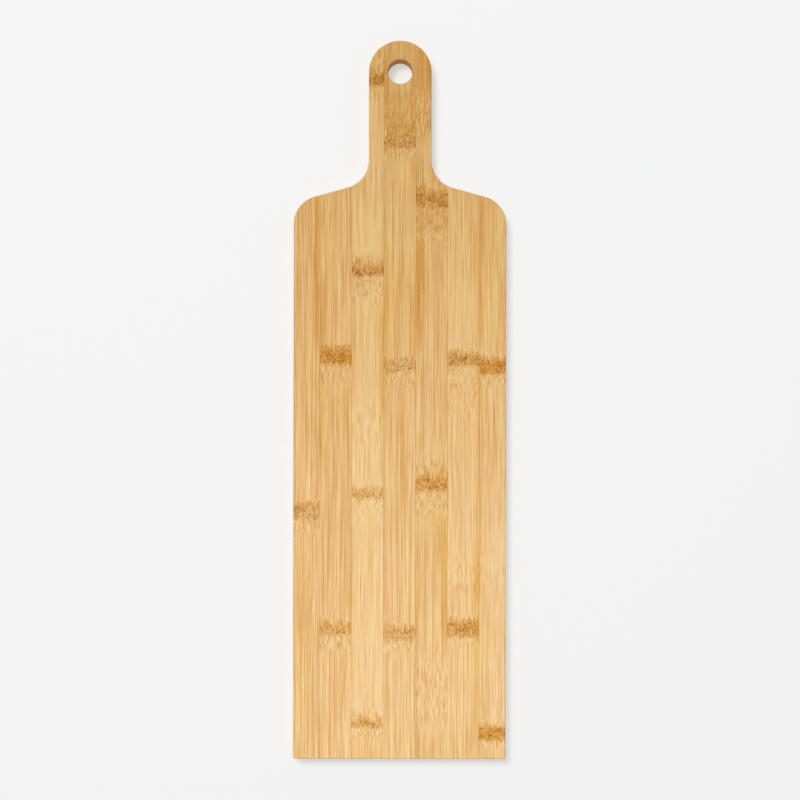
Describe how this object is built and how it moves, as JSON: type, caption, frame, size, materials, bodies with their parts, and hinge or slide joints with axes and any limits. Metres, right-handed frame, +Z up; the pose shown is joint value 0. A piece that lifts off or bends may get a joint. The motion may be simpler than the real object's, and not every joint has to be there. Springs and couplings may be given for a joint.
{
  "type": "paddle serving board",
  "caption": "Flat bamboo paddle board for serving food: a square-ended blade with sloping shoulders and a round-ended handle bored for hanging.",
  "frame": {"origin": "middle of the underside, half way along the overall length", "axes": "+Z up through the serving face, +Y lengthwise towards the handle, +X across"},
  "size_m": [0.148, 0.5, 0.012],
  "materials": {
    "top_bamboo": "sanded, lightly oiled, satin",
    "core_bamboo": "sawn and sanded edges, lightly oiled",
    "bottom_bamboo": "sanded, lightly oiled, satin"
  },
  "bodies": {
    "root": {"top_strip_left_3": "top_bamboo", "top_strip_left_2": "top_bamboo", "top_strip_left_1": "top_bamboo", "top_strip_centre": "top_bamboo", "top_strip_right_1": "top_bamboo", "top_strip_right_2": "top_bamboo", "top_strip_right_3": "top_bamboo", "tip_core": "core_bamboo", "hole_core": "core_bamboo", "handle_core_1": "core_bamboo", "handle_core_2": "core_bamboo", "blade_core_01": "core_bamboo", "blade_core_02": "core_bamboo", "blade_core_03": "core_bamboo", "blade_core_04": "core_bamboo", "blade_core_05": "core_bamboo", "blade_core_06": "core_bamboo", "blade_core_07": "core_bamboo", "blade_core_08": "core_bamboo", "blade_core_09": "core_bamboo", "blade_core_10": "core_bamboo", "blade_core_11": "core_bamboo", "blade_core_12": "core_bamboo", "blade_core_13": "core_bamboo", "blade_core_14": "core_bamboo", "blade_core_15": "core_bamboo", "blade_core_16": "core_bamboo", "blade_core_17": "core_bamboo", "blade_core_18": "core_bamboo", "blade_core_19": "core_bamboo", "blade_core_20": "core_bamboo", "bottom_strip_left_3": "bottom_bamboo", "bottom_strip_left_2": "bottom_bamboo", "bottom_strip_left_1": "bottom_bamboo", "bottom_strip_centre": "bottom_bamboo", "bottom_strip_right_1": "bottom_bamboo", "bottom_strip_right_2": "bottom_bamboo", "bottom_strip_right_3": "bottom_bamboo"}
  },
  "joints": []
}
